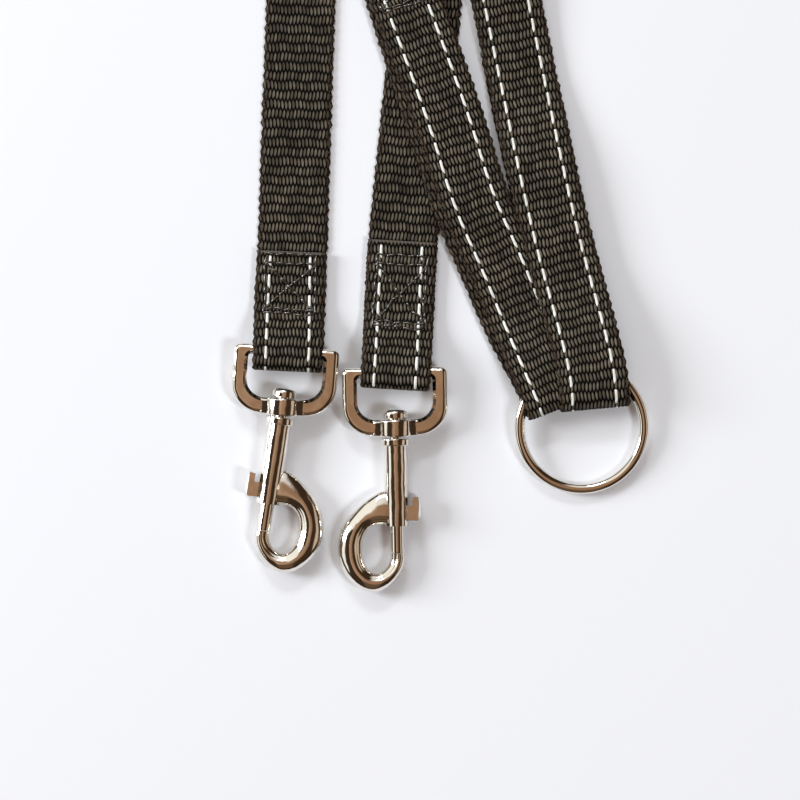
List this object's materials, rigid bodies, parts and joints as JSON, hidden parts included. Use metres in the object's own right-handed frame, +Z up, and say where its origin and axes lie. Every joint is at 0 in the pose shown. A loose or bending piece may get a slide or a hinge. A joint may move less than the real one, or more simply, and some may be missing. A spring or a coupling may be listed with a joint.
{
  "type": "training leash",
  "caption": "Two-leg training leash in flat webbing: each leg ends in a swivel bolt snap and one O-ring joins the two legs, laid flat and folded over.",
  "frame": {"origin": "middle of the whole laid-out object's footprint, on the surface it lies on", "axes": "+Z up from the surface, +Y from the hooks and the ring towards the top folds, +X from the hooks towards the ring"},
  "size_m": [0.1194, 0.2484, 0.0098],
  "materials": {
    "webbing": "black woven polyester webbing with two reflective stitched lines on its front",
    "thread": "black bonded sewing thread, slightly shiny",
    "polished_metal": "nickel-plated, polished",
    "spring_wire": "spring steel wire"
  },
  "bodies": {
    "root": {"left_hook_loop": "webbing", "left_hook_strap": "webbing", "left_top_fold": "webbing", "left_fold_strap": "webbing", "left_ring_strap": "webbing", "left_ring_loop": "webbing", "left_hook_stitching": "thread", "left_ring_stitching": "thread", "right_hook_loop": "webbing", "right_hook_strap": "webbing", "right_top_fold": "webbing", "right_fold_strap": "webbing", "right_ring_strap": "webbing", "right_ring_loop": "webbing", "right_hook_stitching": "thread", "right_ring_stitching": "thread"},
    "left_eye": {"left_swivel_eye": "polished_metal"},
    "left_snap": {"left_hook_body": "polished_metal", "left_swivel_rivet": "polished_metal", "left_bolt_spring": "spring_wire"},
    "left_bolt": {"left_gate_bolt": "polished_metal", "left_thumb_knob": "polished_metal"},
    "right_eye": {"right_swivel_eye": "polished_metal"},
    "right_snap": {"right_hook_body": "polished_metal", "right_swivel_rivet": "polished_metal", "right_bolt_spring": "spring_wire"},
    "right_bolt": {"right_gate_bolt": "polished_metal", "right_thumb_knob": "polished_metal"},
    "ring": {"o_ring": "polished_metal"}
  },
  "joints": [
    {"name": "left_eye_tilt", "type": "hinge", "parent": "root", "child": "left_eye", "pos_m": [-0.0438, -0.0553, 0.00485], "axis": [-0.9972, 0.075, 0], "range_deg": [-100, 100]},
    {"name": "left_swivel", "type": "hinge", "parent": "left_eye", "child": "left_snap", "pos_m": [-0.045, -0.07125, 0.0044], "axis": [-0.1546, -0.9876, -0.0284], "continuous": true},
    {"name": "left_bolt_slide", "type": "slide", "parent": "left_snap", "child": "left_bolt", "axis": [0.1546, 0.9876, 0.0284], "range_m": [0, 0.0076], "stiffness_N_per_m": 200, "springref_m": -0.004, "deforming": ["left_bolt_spring"]},
    {"name": "right_eye_tilt", "type": "hinge", "parent": "root", "child": "right_eye", "pos_m": [-0.013, -0.0613, 0.00485], "axis": [-0.9999, -0.0157, 0], "range_deg": [-100, 100]},
    {"name": "right_swivel", "type": "hinge", "parent": "right_eye", "child": "right_snap", "pos_m": [-0.01275, -0.07729, 0.0044], "axis": [0.0157, -0.9995, -0.0284], "continuous": true},
    {"name": "right_bolt_slide", "type": "slide", "parent": "right_snap", "child": "right_bolt", "axis": [-0.0157, 0.9995, 0.0284], "range_m": [0, 0.0076], "stiffness_N_per_m": 200, "springref_m": -0.004, "deforming": ["right_bolt_spring"]},
    {"name": "ring_turn", "type": "hinge", "parent": "root", "child": "ring", "pos_m": [0.0405, -0.077, 0.00345], "axis": [0.0304, -0.0995, 0.9946], "continuous": true}
  ]
}
